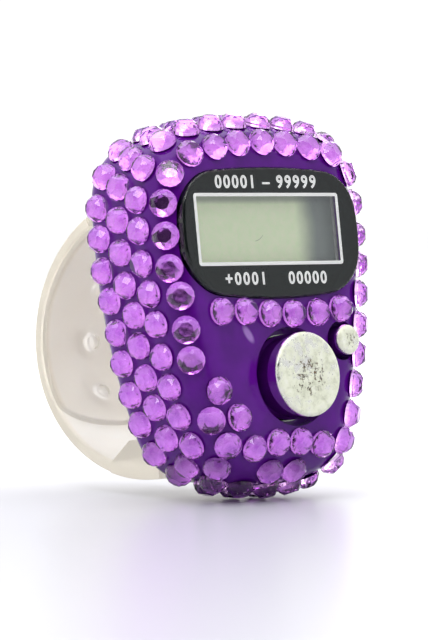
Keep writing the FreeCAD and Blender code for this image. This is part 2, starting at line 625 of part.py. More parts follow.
def root(side):
    """The thick end of the strap: a tapered block on the case, a neck through its slot, a flange inside."""
    z, half = neck_z(side), STRAP_WIDTH / 2
    depth, height = ROOT_BLOCK
    inside = CASE_DEPTH - BACK_WALL
    outer_z = STRAP_CENTRE_Z + side * STRAP_HALF_HEIGHT
    seat_y, run_out = CASE_DEPTH - STRAP_SEAT + FIT_GAP, CASE_DEPTH + depth + ROOT_TAPER
    profile = [(seat_y, outer_z), (seat_y, outer_z - side * height),
               (CASE_DEPTH + depth, outer_z - side * height),
               (run_out, outer_z - side * ROOT_RUN_OUT_HEIGHT), (run_out, outer_z)]
    points = [V(-half, py, pz) for py, pz in profile]
    block = Part.Face(Part.makePolygon(points + points[:1])).extrude(V(STRAP_WIDTH, 0, 0))
    block = block.common(loop_fill())
    neck = box(-ROOT_NECK_WIDTH / 2, ROOT_NECK_WIDTH / 2, inside - 0.5, CASE_DEPTH + 0.5,
               z - ROOT_NECK_HEIGHT / 2, z + ROOT_NECK_HEIGHT / 2)
    tall = ROOT_NECK_HEIGHT / 2 + ROOT_FLANGE_OVERHANG
    flange = box(-ROOT_FLANGE[0] / 2, ROOT_FLANGE[0] / 2, inside - FIT_GAP - ROOT_FLANGE[1], inside - FIT_GAP,
                 z - tall, z + tall)
    return fuse(block, neck, flange)


def round_rims(shape, amount):
    """Rounds the strap's long edges."""
    rims = [e for e in shape.Edges
            if e.BoundBox.XLength < 1e-3 and e.Length > 12 and e.Curve.TypeId != "Part::GeomLine"]
    return shape.makeFillet(amount, rims)


def strap_holed():
    """The lower strap: the outer layer, with the row of holes."""
    strip = band(0, HOLED_THICK, *HOLED_SPAN).cut(rounded_tip(HOLED_SPAN[0], -1, HOLED_TIP))
    strip = round_rims(strip, 0.3)
    holes = []
    for angle in HOLE_ANGLES:
        surface, out, _ = strap_frame(0, angle)
        holes.append(Part.makeCylinder(HOLE_R, 6, surface - out * 3, out))
    return cut(fuse(strip, root(-1)), *holes)


def knob(angle_deg):
    """One knob of the strap: a neck through the hole and a wider head outside."""
    surface, out, _ = strap_frame(0, angle_deg)
    neck = Part.makeCylinder(HOLE_R - 0.12, HOLED_THICK + 0.6, surface - out * (HOLED_THICK + 0.3), out)
    base_r, tip_r, height = KNOB_HEAD
    return neck.fuse(Part.makeCone(base_r, tip_r, height, surface + out * 0.12, out))


def strap_knobbed():
    """The upper strap: the inner layer, with the knobs that button into the other one's holes."""
    inset = HOLED_THICK + LAYER_GAP
    strip = band(inset, KNOBBED_THICK, *KNOBBED_SPAN).cut(rounded_tip(KNOBBED_SPAN[1], 1, KNOBBED_TIP))
    strip = round_rims(strip, 0.2)
    bridge = band(0, inset + KNOBBED_THICK, *BRIDGE_SPAN)
    dimples = []
    for angle in BUTTONED_HOLES:
        inner, out, _ = strap_frame(inset + KNOBBED_THICK, angle)
        dimples.append(Part.makeCylinder(DIMPLE[0], DIMPLE[1] + 1, inner - out, out))
    return cut(fuse(strip, bridge, root(1), *[knob(angle) for angle in BUTTONED_HOLES]), *dimples)


# ---- crystals ----------------------------------------------------------------------------------------
def crystal():
    """One flat-backed crystal lying on the XY plane, table upwards."""
    turn = 2 * math.pi / CRYSTAL_SIDES

    def ring(radius, height):
        points = [V(radius * math.cos(k * turn), radius * math.sin(k * turn), height)
                  for k in range(CRYSTAL_SIDES)]
        return Part.makePolygon(points + points[:1])

    girdle = Part.Face(ring(CRYSTAL_R, 0)).extrude(V(0, 0, CRYSTAL_GIRDLE))
    table = ring(CRYSTAL_TABLE_R, CRYSTAL_GIRDLE + CRYSTAL_CROWN)
    crown = Part.makeLoft([ring(CRYSTAL_R, CRYSTAL_GIRDLE), table], True, True)
    return girdle.fuse(crown).removeSplitter()


def surface_point(number, part, wrapped):
    """The case's surface, `wrapped` mm over its section from where the face starts to round."""
    radius = front_round_at(number, part)
    point, normal = arc_point(case_outline(0), number, part)
    further, _ = arc_point(case_outline(1), number, part)
    inward = -sum((f - p) * n for f, p, n in zip(further, point, normal))   # per mm of depth
    rise = math.atan(inward)
    angle = max(-rise, math.pi / 2 - wrapped / radius)
    past = max(0.0, wrapped - radius * (math.pi / 2 + rise))
    offset = radius * (math.cos(angle) - inward - 1 / math.cos(rise)) - past * math.sin(rise)
    y = radius * (1 - math.sin(angle)) + past * math.cos(rise)
    at = V(point[0] + offset * normal[0], y, point[1] + offset * normal[1])
    out = V(normal[0] * math.cos(angle), -math.sin(angle), normal[1] * math.cos(angle))
    return at, out


def smooth(x, low, high):
    t = min(1.0, max(0.0, (x - low) / (high - low)))
    return t * t * (3 - 2 * t)


def row_shift(number, part):
    """How far the rows are moved over the section at a place on the outline."""
    point, normal = arc_point(case_outline(0), number, part)
    shift = (TOP_SHIFT if normal[1] > 0 else BOTTOM_SHIFT) * normal[1] ** 2
    height = point[1]
    shift += WINDOW_SHIFT * (1 - smooth(abs(height), 4.0, 8.0))
    if point[0] < 0:
        shift += LOW_LEFT_SHIFT * smooth(-height, 7.0, 15.0) * (1 - smooth(-height, 19.0, 25.0))
    return shift


def row_path(row):
    """Close-set points along one row of crystals: (length so far, place, outward direction)."""
    outline = case_outline(0)
    total = outline_length(outline)
    steps = 600
    path, length, before = [], 0.0, None
    for k in range(steps + 1):
        number, part = arc_at(outline, total * min(k, steps - 1e-6) / steps)
        place, out = surface_point(number, part, FIRST_ROW + ROW_PITCH * row + row_shift(number, part))
        if before is not None:
            length += (place - before).Length
        before = place
        path.append((length, place, out))
    return path


def group_name(row, out):
    if row == 0:
        return "crystals_front_edge"
    if abs(out.z) > FACING_UP_DOWN:
        return "crystals_top" if out.z > 0 else "crystals_bottom"
    return "crystals_left" if out.x < 0 else "crystals_right"


def seated(surface, place, out):
    """The nearest point of the case's surface and its outward direction there."""
    _, pairs, details = surface.distToShape(Part.Vertex(place))
    kind, index, where = details[0][:3]
    if kind == "Face":
        out = surface.Faces[index].normalAt(*where)
    return pairs[0][0], out


def crystal_places(surface):
    """Every crystal's (node name, place, outward direction, turn)."""
    rng = random.Random(11)
    places = []
    for x, z in FACE_CRYSTALS:
        place, out = seated(surface, V(x, 0, z + rng.uniform(-0.15, 0.15)), V(0, -1, 0))
        places.append(("crystals_face", place, out, rng.uniform(0, 360)))
    for row in range(ROWS):
        path = row_path(row)
        length = path[-1][0]
        count = int(length // CRYSTAL_PITCH)
        for k in range(count):
            along = (k + 0.5 * (row % 2) + rng.uniform(-0.02, 0.02)) * length / count % length
            _, place, out = min(path, key=lambda step: abs(step[0] - along))
            place, out = seated(surface, place, out)
            if all((place - other[1]).Length > CLOSEST for other in places):
                places.append((group_name(row, out), place, out, rng.uniform(0, 360)))
    return places


def crystals():
    """Node name to its group of crystals."""
    stone = crystal()
    groups = {}
    for name, place, out, turn in crystal_places(case_block(0, 0, CASE_DEPTH).Shells[0]):
        copy = stone.copy()
        facing = FreeCAD.Rotation(V(0, 0, 1), out).multiply(FreeCAD.Rotation(V(0, 0, 1), turn))
        copy.Placement = FreeCAD.Placement(place + out * GLUE_GAP, facing)
        groups.setdefault(name, []).append(copy)
    return {name: Part.makeCompound(stones) for name, stones in groups.items()}


# ---- the whole object --------------------------------------------------------------------------------
NODES = [front_shell, rear_shell, display_window, display_cradle, lcd_glass, lcd_reflector, contact_strips,
         circuit_board, chip_blob, chip_parts, button_cell, negative_contact, positive_contact, count_button,
         reset_button, count_dome, reset_dome, case_screws, board_screws, battery_door, door_screw,
         strap_holed, strap_knobbed]


def leaned(shape):
    placed = shape.copy()
    placed.rotate(V(0, 0, 0), V(1, 0, 0), -LEAN_DEG)
    return placed


def limits(shapes):
    """Lowest and highest corner of the meshed shapes."""
    points = [p for s in shapes for p in s.tessellate(0.02)[0]]
    low = V(min(p.x for p in points), min(p.y for p in points), min(p.z for p in points))
    high = V(max(p.x for p in points), max(p.y for p in points), max(p.z for p in points))
    return low, high


def main():
    os.makedirs("parts", exist_ok=True)
    shapes = {make.__name__: make() for make in NODES}
    shapes.update(crystals())
    shapes = {name: leaned(shape) for name, shape in shapes.items()}
    low, high = limits(shapes.values())
    stand = V(0, -(low.y + high.y) / 2, -low.z)
    print("stand", [round(c, 4) for c in stand], "x", round(low.x, 3), round(high.x, 3),
          "size", [round(c, 3) for c in high - low])
    for name, shape in shapes.items():
        shape.translate(stand)
        bad = [s for s in shape.Solids if not s.isValid() or s.Volume <= 0]
        print(f"{name:22s} solids {len(shape.Solids):3d} volume {sum(s.Volume for s in shape.Solids):9.2f}",
              "BAD" if bad or not shape.Solids else "")
        shape.exportStep(f"parts/{name}.step")


main()
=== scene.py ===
"""Looks of a finger-ring tally counter: faceted stones, printed window, plated buttons, milky strap.

New pieces are modelled in the case's own datum, in millimetres: origin at the centre of the display
on the flat of the face, X right, Y into the case, Z up along the case. `place` then stands them in
the row frame, leaning back with the case.
"""

import json
import math
import random

import bmesh
import bpy
from mathutils import Matrix, Vector


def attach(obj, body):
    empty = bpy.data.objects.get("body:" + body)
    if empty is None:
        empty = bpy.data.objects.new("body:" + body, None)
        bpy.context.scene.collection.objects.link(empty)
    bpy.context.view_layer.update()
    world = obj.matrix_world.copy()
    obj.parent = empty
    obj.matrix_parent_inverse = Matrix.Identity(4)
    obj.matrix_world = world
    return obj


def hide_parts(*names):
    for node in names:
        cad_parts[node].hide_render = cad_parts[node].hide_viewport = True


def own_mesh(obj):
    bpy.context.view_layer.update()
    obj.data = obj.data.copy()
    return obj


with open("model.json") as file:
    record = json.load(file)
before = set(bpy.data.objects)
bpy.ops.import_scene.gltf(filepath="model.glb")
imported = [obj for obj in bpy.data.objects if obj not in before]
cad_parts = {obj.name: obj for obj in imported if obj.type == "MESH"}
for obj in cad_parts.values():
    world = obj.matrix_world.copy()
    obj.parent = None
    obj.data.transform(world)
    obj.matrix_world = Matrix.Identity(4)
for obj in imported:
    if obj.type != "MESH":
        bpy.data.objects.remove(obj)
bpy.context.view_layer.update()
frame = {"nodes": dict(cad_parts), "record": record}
NODES = frame["nodes"]
RECORD = frame["record"]

# ---- where the case stands ---------------------------------------------------------------------------
MM = 0.001
BACK_FACE_POINT = Vector((9.2, 14.0, -8.0))      # the back face mount, in the case's datum
BACK_MOUNT = next(m for m in RECORD["mounts"] if m["name"] == "back_face")
LEAN = math.atan2(-BACK_MOUNT["axis"][2], BACK_MOUNT["axis"][1])
TURN = Matrix.Rotation(-LEAN, 4, "X")
STAND = Vector(BACK_MOUNT["pos_m"]) - (TURN @ BACK_FACE_POINT) * MM
DATUM = Matrix.Translation(STAND) @ TURN @ Matrix.Scale(MM, 4)

# ---- sizes, in millimetres ---------------------------------------------------------------------------
STONE_R = 1.52
STONE_HEIGHT = 1.25
STONE_GIRDLE = 0.36
STONE_SHOULDER = (0.83, 0.86)     # radius as a part of the stone's, and height
STONE_TABLE = 0.55                # radius as a part of the stone's
STONE_TILT = 2.5                  # degrees, the most that a stone is off true
STONE_SEED = 5

PRINT_Y = 0.62                    # the printing lies just inside the back of the window
PRINT_SHARE = (0.996, 0.90, 0.994)    # the printed sheet's size as a part of the window's
PRINT_THICKNESS = 0.03
INK_Y = 0.58
FRAME_SIZE = (20.74, 7.81)
FRAME_LINE = 0.36
FRAME_CORNER = 0.35
FRAME_THICKNESS = 0.02
DIGIT_SHARE = 0.70                # a digit's height as a part of the font's size
DIGIT_BOLDNESS = 0.05
DIGIT_THICKNESS = 0.012
MARKS = [                         # text, X and Z of its middle, height, letter spacing
    ("00001 – 99999", 0.1, 5.05, 1.35, 1.25),
    ("+0001", -4.0, -5.4, 1.3, 1.3),
    ("00000", 4.9, -5.4, 1.3, 1.25),
]

COUNT_CENTRE = (1.5, -16.0)       # X and Z
COUNT_R = 4.6
COUNT_TOP_Y = -2.5
COUNT_TRAVEL = 0.9
RESET_CENTRE = (9.0, -12.3)
RESET_R = 1.66
RESET_TOP_Y = -1.25
RESET_TRAVEL = 0.7

# where a lilac painted highlight lies on the face, left of the count button, and how it slants
PAINTED_HIGHLIGHT_AT = (-4.5, 0, -11.3)
PAINTED_HIGHLIGHT_SLANT = 35                  # degrees
STRAP_EDGE_X = 7.0

MERGE_DISTANCE = 0.002
SMOOTH_ANGLE = math.radians(35)


# ---- modelling helpers -------------------------------------------------------------------------------
def deselect():
    if bpy.context.object and bpy.context.object.mode != "OBJECT":
        bpy.ops.object.mode_set(mode="OBJECT")
    bpy.ops.object.select_all(action="DESELECT")


def only(obj):
    deselect()
    obj.select_set(True)
    bpy.context.view_layer.objects.active = obj


def edit(obj, mode="FACE"):
    """Opens the object in edit mode with nothing selected."""
    only(obj)
    bpy.ops.object.mode_set(mode="EDIT")
    bpy.ops.mesh.select_mode(type=mode)
    bpy.ops.mesh.select_all(action="DESELECT")


def pick(obj, test):
    """Selects the faces for which test is true, in edit mode."""
    mesh = bmesh.from_edit_mesh(obj.data)
    for face in mesh.faces:
        face.select_set(bool(test(face)))
    mesh.select_flush_mode()
    bmesh.update_edit_mesh(obj.data)


def done(obj):
    bpy.ops.object.mode_set(mode="OBJECT")
    deselect()
    return obj


def modify(obj, kind, **settings):
    """Adds a modifier and applies it."""
    only(obj)
    modifier = obj.modifiers.new(kind.lower(), kind)
    for key, value in settings.items():
        setattr(modifier, key, value)
    bpy.ops.object.modifier_apply(modifier=modifier.name)


def apply_transform(obj):
    only(obj)
    bpy.ops.object.transform_apply(location=True, rotation=True, scale=True)


def join(objects, name):
    deselect()
    for obj in objects:
        obj.select_set(True)
    bpy.context.view_layer.objects.active = objects[0]
    if len(objects) > 1:
        bpy.ops.object.join()
    joined = bpy.context.object
    joined.name = joined.data.name = name
    return joined


def place(obj):
    """Stands a piece modelled in the case's datum in the row frame, with its place in its mesh."""
    apply_transform(obj)
    obj.matrix_world = DATUM
    apply_transform(obj)
    return obj


def give(obj, body, slot, *materials):
    """Materials and body of a finished piece; the finish slot it is given is not used."""
    while len(obj.data.materials) < len(materials):
        obj.data.materials.append(None)
    for index, material in enumerate(materials):
        obj.data.materials[index] = material
    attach(obj, body)
    deselect()


def smooth(obj):
    only(obj)
    bpy.ops.object.shade_smooth_by_angle(angle=SMOOTH_ANGLE)
    deselect()


def box_of(obj):
    """The lowest and highest corner of a mesh."""
    corners = [v.co for v in obj.data.vertices]
    low = Vector([min(c[k] for c in corners) for k in range(3)])
    high = Vector([max(c[k] for c in corners) for k in range(3)])
    return low, high


def copy_of(node, name):
    """A piece with the shape of a CAD node, in the case's datum, with its doubles merged."""
    copy = NODES[node].copy()
    copy.data = copy.data.copy()
    copy.name = copy.data.name = name
    bpy.context.collection.objects.link(copy)
    copy.parent = None
    copy.matrix_world = DATUM.inverted()
    apply_transform(copy)
    edit(copy, "VERT")
    bpy.ops.mesh.select_all(action="SELECT")
    bpy.ops.mesh.remove_doubles(threshold=MERGE_DISTANCE)
    return done(copy)


# ---- materials ---------------------------------------------------------------------------------------
class Nodes:
    """A short way to write the node tree of a material or world."""

    def __init__(self, owner):
        owner.use_nodes = True
        self.owner = owner
        self.tree = owner.node_tree

    def add(self, kind, inputs=(), **settings):
        node = self.tree.nodes.new("ShaderNode" + kind)
        for key, value in settings.items():
            setattr(node, key, value)
        for key, value in dict(inputs).items():
            if isinstance(value, bpy.types.NodeSocket):
                self.tree.links.new(value, node.inputs[key])
            else:
                node.inputs[key].default_value = value
        return node

    def surface(self, **values):
        shader = self.tree.nodes["Principled BSDF"]
        for key, value in values.items():
            socket = shader.inputs[key.replace("_", " ")]
            if isinstance(value, bpy.types.NodeSocket):
                self.tree.links.new(value, socket)
            else:
                socket.default_value = value

    def coordinates(self):
        """The place in the case's datum, in millimetres."""
        source = self.add("TexCoord").outputs["Object"]
        moved = self.add("VectorMath", {0: source, 1: STAND}, operation="SUBTRACT").outputs[0]
        turned = self.turn(moved, (LEAN, 0, 0))
        return self.add("VectorMath", {0: turned, "Scale": 1 / MM}, operation="SCALE").outputs[0]

    def turn(self, vector, angles, centre=(0, 0, 0)):
        return self.add("VectorRotate", {"Vector": vector, "Center": centre, "Rotation": angles},
                        rotation_type="EULER_XYZ").outputs[0]

    def axes(self, vector):
        return self.add("SeparateXYZ", {"Vector": vector}).outputs

    def math(self, operation, *values):
        return self.add("Math", dict(enumerate(values)), operation=operation).outputs[0]

    def dot(self, a, b):
        return self.add("VectorMath", {0: a, 1: b}, operation="DOT_PRODUCT").outputs["Value"]

    def step(self, value, start, end):
        """0 before start and 1 after end, smoothly."""
        return self.add("MapRange", {"Value": value, "From Min": start, "From Max": end},
                        interpolation_type="SMOOTHSTEP").outputs[0]

    def distance(self, vector, point, stretch=(1, 1, 1)):
        """How far from a point, with each axis stretched."""
        apart = self.add("VectorMath", {0: vector, 1: point}, operation="SUBTRACT").outputs[0]
        scaled = self.add("VectorMath", {0: apart, 1: stretch}, operation="MULTIPLY").outputs[0]
        return self.add("VectorMath", {0: scaled}, operation="LENGTH").outputs["Value"]

    def noise(self, vector, scale, detail=4.0, roughness=0.5, distortion=0.0):
        return self.add("TexNoise", {"Vector": vector, "Scale": scale, "Detail": detail,
                                     "Roughness": roughness, "Distortion": distortion}).outputs["Fac"]

    def ramp(self, value, *stops, interpolation="LINEAR"):
        node = self.add("ValToRGB", {"Fac": value})
        node.color_ramp.interpolation = interpolation
        elements = node.color_ramp.elements
        while len(elements) < len(stops):
            elements.new(0.5)
        for element, (position, colour) in zip(elements, stops):
            element.position = position
            element.color = grey(colour) if isinstance(colour, (int, float)) else (*colour, 1.0)
        return node.outputs["Color"]

    def mix(self, factor, a, b):
        node = self.add("Mix", data_type="RGBA")
        for socket, value in ((node.inputs["Factor"], factor), (node.inputs[6], a), (node.inputs[7], b)):
            if isinstance(value, bpy.types.NodeSocket):
                self.tree.links.new(value, socket)
            elif isinstance(value, (int, float)):
                socket.default_value = value
            else:
                socket.default_value = (*value, 1.0)
        return node.outputs[2]

    def bump(self, height, strength, distance=0.1):
        return self.add("Bump", {"Height": height, "Strength": strength,
                                 "Distance": distance * MM}).outputs["Normal"]


def new_material(name):
    return Nodes(bpy.data.materials.new(name))


def grey(value):
    return (value, value, value, 1.0)


def purple_plastic():
    n = new_material("glossy purple plastic")
    at = n.coordinates()
    mottle = n.noise(at, 0.35, 5)
    colour = n.ramp(mottle, (0.30, (0.088, 0.003, 0.205)), (0.70, (0.120, 0.004, 0.275)))
    # a lighter lilac patch on the face, left of the count button: a painted highlight
    slanted = n.turn(at, (0, math.radians(PAINTED_HIGHLIGHT_SLANT), 0), PAINTED_HIGHLIGHT_AT)
    painted_highlight = n.distance(slanted, PAINTED_HIGHLIGHT_AT, (1.9, 0.4, 0.8))
    colour = n.mix(n.math("MULTIPLY", n.step(painted_highlight, 1.1, 0.5), 0.75), colour, (0.46, 0.26, 0.66))
    rough = n.ramp(n.noise(at, 1.2, 6, 0.6), (0.35, 0.10), (0.75, 0.20))
    n.surface(Base_Color=colour, Roughness=rough, IOR=1.45, Normal=n.bump(n.noise(at, 0.5, 2), 0.15, 0.12))
    n.surface(Specular_IOR_Level=0.22, Coat_Weight=0.12, Coat_Roughness=0.06)
    return n.owner


def stone_body():
    n = new_material("dyed stone")
    n.surface(Base_Color=(0.90, 0.58, 0.96, 1.0), Roughness=0.0, IOR=1.56, Transmission_Weight=1.0)
    return n.owner


def stone_foil():
    n = new_material("stone foil")
    at = n.coordinates()
    colour = n.ramp(n.noise(at, 0.9, 3), (0.35, (0.60, 0.26, 0.80)), (0.65, (0.80, 0.42, 0.95)))
    n.surface(Base_Color=colour, Metallic=1.0, Roughness=0.14, Normal=n.bump(n.noise(at, 1.1, 1), 0.35, 0.06))
    return n.owner


def window_clear():
    n = new_material("clear acrylic")
    n.surface(Base_Color=(0.985, 0.995, 0.99, 1.0), Roughness=0.015, IOR=1.49, Transmission_Weight=1.0)
    return n.owner


def print_black():
    n = new_material("black print")
    at = n.coordinates()
    colour = n.ramp(n.noise(at, 1.5, 3), (0.3, (0.002, 0.007, 0.007)), (0.7, (0.005, 0.011, 0.010)))
    n.surface(Base_Color=colour, Roughness=0.45, Specular_IOR_Level=0.05)
    return n.owner


def print_white_with_painted_glow():
    n = new_material("white print")
    at = n.coordinates()
    colour = n.ramp(n.noise(at, 3.0, 4), (0.3, (0.93, 0.94, 0.93)), (0.7, (0.99, 0.99, 0.98)))
    # the white ink gives off a painted glow so that it reads bright behind the clear window
    n.surface(Base_Color=colour, Roughness=0.5, Emission_Color=(1.0, 1.0, 0.98, 1.0), Emission_Strength=0.32)
    return n.owner


def lcd_face():
    """Grey-green, with painted shade darkening it towards the right, a painted shadow of the case along the
    top, and a faint painted glow.
    """
    n = new_material("lcd grey green")
    at = n.coordinates()
    axes = n.axes(at)
    green = n.ramp(n.noise(at, 1.1, 7, 0.75), (0.3, (0.78, 0.90, 0.59)), (0.7, (0.90, 0.98, 0.69)))
    # painted shade: the display darkens to dark grey towards the right
    painted_right_shade = n.math("ADD", axes["X"], n.math("MULTIPLY", n.noise(at, 0.3, 3), 0.8))
    colour = n.mix(n.step(painted_right_shade, 5.0, 8.6), green, (0.195, 0.225, 0.215))
    # painted shadow of the case along the top of the display
    colour = n.mix(n.math("MULTIPLY", n.step(axes["Z"], 2.7, 3.5), 0.62), colour, (0.13, 0.15, 0.15))
    scratch = n.math("ABSOLUTE", n.math("SUBTRACT", n.distance(at, (-1.2, 2.0, 0.6)), 1.75))
    along = n.step(n.distance(at, (-0.4, 2.0, -0.9)), 0.9, 0.5)
    there = n.math("MULTIPLY", n.step(scratch, 0.07, 0.02), along)
    colour = n.mix(n.math("MULTIPLY", there, 0.45), colour, (0.25, 0.22, 0.18))
    n.surface(Base_Color=colour, Roughness=0.28, Specular_IOR_Level=0.3)
    # a faint painted glow in the display's own colour, though the display has no lamp
    n.surface(Emission_Color=colour, Emission_Strength=0.13)
    return n.owner


def worn_chrome(name, centre, top_y, radius):
    """Clean plating on the side, worn and pitted on top."""
    n = new_material(name)
    at = n.coordinates()
    top = n.step(n.axes(at)["Y"], top_y + 0.45, top_y + 0.15)
    from_middle = n.distance(at, (centre[0], top_y, centre[1]), (1, 0, 1))
    patches = n.noise(at, 0.50, 9, 0.62, 0.3)
    worn = n.math("MULTIPLY", n.ramp(patches, (0.36, 0.0), (0.50, 1.0)), top)
    fewer_outside = n.math("MULTIPLY", n.step(from_middle, 0.25 * radius, 0.95 * radius), 0.16)
    specks = n.math("SUBTRACT", n.noise(at, 2.6, 8, 0.72), fewer_outside)
    pits = n.math("MULTIPLY", n.ramp(specks, (0.53, 0.0), (0.57, 1.0)), top)
    deposit = n.ramp(n.noise(at, 1.3, 8, 0.65),
                     (0.30, (0.60, 0.62, 0.46)), (0.50, (0.88, 0.90, 0.71)), (0.70, (0.97, 0.98, 0.84)))
    stain = n.ramp(n.noise(at, 4.0, 3), (0.4, (0.06, 0.055, 0.045)), (0.7, (0.30, 0.20, 0.09)))
    colour = n.mix(pits, n.mix(worn, (0.80, 0.79, 0.77), deposit), stain)
    metal = n.mix(worn, (1, 1, 1), (0.15, 0.15, 0.15))
    rough = n.mix(worn, (0.07, 0.07, 0.07), (0.45, 0.45, 0.45))
    height = n.mix(pits, n.mix(worn, (0.5, 0.5, 0.5), (0.62, 0.62, 0.62)), (0.0, 0.0, 0.0))
    n.surface(Base_Color=colour, Metallic=metal, Roughness=rough, Normal=n.bump(height, 0.8, 0.12))
    return n.owner


def milky_strap():
    """Milky and see-through on the flat, with painted shade making it darker and warmer along the edges, and
    a faint painted glow.
    """
    n = new_material("milky soft plastic")
    at = n.coordinates()
    # painted shade: a darker, warmer colour along the strap's edges
    edge = n.step(n.math("ABSOLUTE", n.axes(at)["X"]), STRAP_EDGE_X - 0.75, STRAP_EDGE_X - 0.05)
    cloud = n.ramp(n.noise(at, 0.16, 4), (0.30, (0.905, 0.875, 0.805)), (0.70, (0.955, 0.935, 0.88)))
    colour = n.mix(edge, cloud, (0.80, 0.75, 0.64))
    rough = n.ramp(n.noise(at, 0.9, 5), (0.3, 0.38), (0.7, 0.52))
    # a faint warm painted glow on the strap
    n.surface(Emission_Color=(1.0, 0.97, 0.88, 1.0), Emission_Strength=0.05)
    n.surface(Base_Color=colour, Roughness=rough, IOR=1.40, Transmission_Weight=0.68,
              Normal=n.bump(n.noise(at, 0.6, 3), 0.2, 0.08))
    return n.owner


def plain_plastic(name, dark, light, roughness, scale=1.0):
    n = new_material(name)
    at = n.coordinates()
    n.surface(Base_Color=n.ramp(n.noise(at, scale, 4), (0.3, dark), (0.7, light)), Roughness=roughness,
              Normal=n.bump(n.noise(at, scale * 3, 3), 0.2, 0.05))
    return n.owner


def plain_metal(name, dark, light, roughness):
    n = new_material(name)
    at = n.coordinates()
    n.surface(Base_Color=n.ramp(n.noise(at, 2.0, 5), (0.3, dark), (0.7, light)), Metallic=1.0,
              Roughness=n.ramp(n.noise(at, 4.0, 4), (0.3, roughness * 0.7), (0.7, roughness * 1.3)),
              Normal=n.bump(n.noise(at, 6.0, 3), 0.15, 0.03))
    return n.owner


def circuit_board_finish():
    n = new_material("green board")
    at = n.coordinates()
    tracks = n.add("TexBrick", {"Vector": at, "Scale": 0.55, "Mortar Size": 0.03,
                                "Color1": (0.02, 0.16, 0.06, 1), "Color2": (0.015, 0.12, 0.045, 1),
                                "Mortar": (0.05, 0.30, 0.12, 1)}).outputs["Color"]
    n.surface(Base_Color=tracks, Roughness=0.35)
    return n.owner


# ---- stones ------------------------------------------------------------------------------------------
def stone_pattern(finishes):
    """One faceted flat-backed stone lying on XY: eight stars, eight kites and sixteen lower facets."""
    rings = [(16, STONE_R, 0.0, 0.0), (16, STONE_R, STONE_GIRDLE, 0.0),
             (8, STONE_R * STONE_SHOULDER[0], STONE_SHOULDER[1], math.pi / 8),
             (8, STONE_R * STONE_TABLE, STONE_HEIGHT, 0.0)]
    circles = []
    for count, radius, height, turn in rings:
        deselect()
        bpy.ops.mesh.primitive_circle_add(vertices=count, radius=radius, location=(0, 0, height),
                                          rotation=(0, 0, turn))
        circles.append(bpy.context.object)
    for circle in circles:
        apply_transform(circle)
    stone = join(circles, "stone_pattern")
    edit(stone, "VERT")
    bpy.ops.mesh.select_all(action="SELECT")
    bpy.ops.mesh.convex_hull()
    bpy.ops.mesh.select_all(action="SELECT")
    bpy.ops.mesh.dissolve_limited(angle_limit=math.radians(1.0))
    bpy.ops.mesh.select_all(action="SELECT")
    bpy.ops.mesh.normals_make_consistent(inside=False)
    for finish in finishes:
        stone.data.materials.append(finish)
    bpy.ops.mesh.select_mode(type="FACE")
    pick(stone, lambda f: f.normal.z < -0.9)
    stone.active_material_index = 1
    bpy.ops.object.material_slot_assign()
    return done(stone)


def level_with(face, faces):
    """The faces that look the same way as the given one."""
    return [f for f in faces if f.normal.dot(face.normal) > 0.999]


def stone_places(node):
    """(centre of the flat back, outward direction, a direction across) of every stone in a CAD node."""
    mesh = bmesh.new()
    mesh.from_mesh(NODES[node].data)
    bmesh.ops.remove_doubles(mesh, verts=mesh.verts, dist=MERGE_DISTANCE * MM)
    mesh.faces.index_update()
    left = set(mesh.faces)
    places = []
    while left:
        island, edge = set(), [left.pop()]
        while edge:
            face = edge.pop()
            island.add(face)
            near = {other for side in face.edges for other in side.link_faces}
            edge.extend(near & left)
            left -= near
        island = sorted(island, key=lambda f: f.index)    # so that a tie always falls the same way
        biggest = max(island, key=lambda f: sum(g.calc_area() for g in level_with(f, island)))
        back = level_with(biggest, island)
        area = sum(f.calc_area() for f in back)
        centre = sum((f.calc_center_median() * f.calc_area() for f in back), Vector()) / area
        corner = max((v for f in back for v in f.verts), key=lambda v: (v.co - centre).length)
        places.append((centre.copy(), -biggest.normal.copy(), (corner.co - centre).normalized()))
    mesh.free()
    return sorted(places, key=lambda p: tuple(p[0]))


def stones(node, pattern, finishes, rng):
    """Faceted stones where a CAD node's plain ones are."""
    copies = []
    for centre, out, across in stone_places(node):
        copy = pattern.copy()
        copy.data = pattern.data.copy()
        bpy.context.collection.objects.link(copy)
        side = out.cross(across)
        axes = Matrix((across, side, out)).transposed().to_4x4()
        tilt = Matrix.Rotation(math.radians(rng.uniform(-STONE_TILT, STONE_TILT)), 4, "X")
        copy.matrix_world = Matrix.Translation(centre) @ axes @ tilt @ Matrix.Scale(MM, 4)
        copies.append(copy)
    group = join(copies, node.replace("crystals", "stones"))
    apply_transform(group)
    give(group, "case", "crystal_acrylic", *finishes)
    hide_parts(node)


# ---- window ------------------------------------------------------------------------------------------
def frame_line():
    """The thin rectangular line round the display."""
    deselect()
    bpy.ops.mesh.primitive_plane_add(size=1, location=(0, INK_Y, 0), rotation=(math.pi / 2, 0, 0))
    ring = bpy.context.object
    ring.scale = (*FRAME_SIZE, 1)
    apply_transform(ring)
    edit(ring, "VERT")
    bpy.ops.mesh.select_all(action="SELECT")
    bpy.ops.mesh.bevel(offset=FRAME_CORNER, segments=6, affect="VERTICES")
    bpy.ops.mesh.select_mode(type="FACE")
    bpy.ops.mesh.select_all(action="SELECT")
    bpy.ops.mesh.inset(thickness=FRAME_LINE)
    bpy.ops.mesh.delete(type="FACE")
    done(ring)
    modify(ring, "SOLIDIFY", thickness=FRAME_THICKNESS)
    return ring


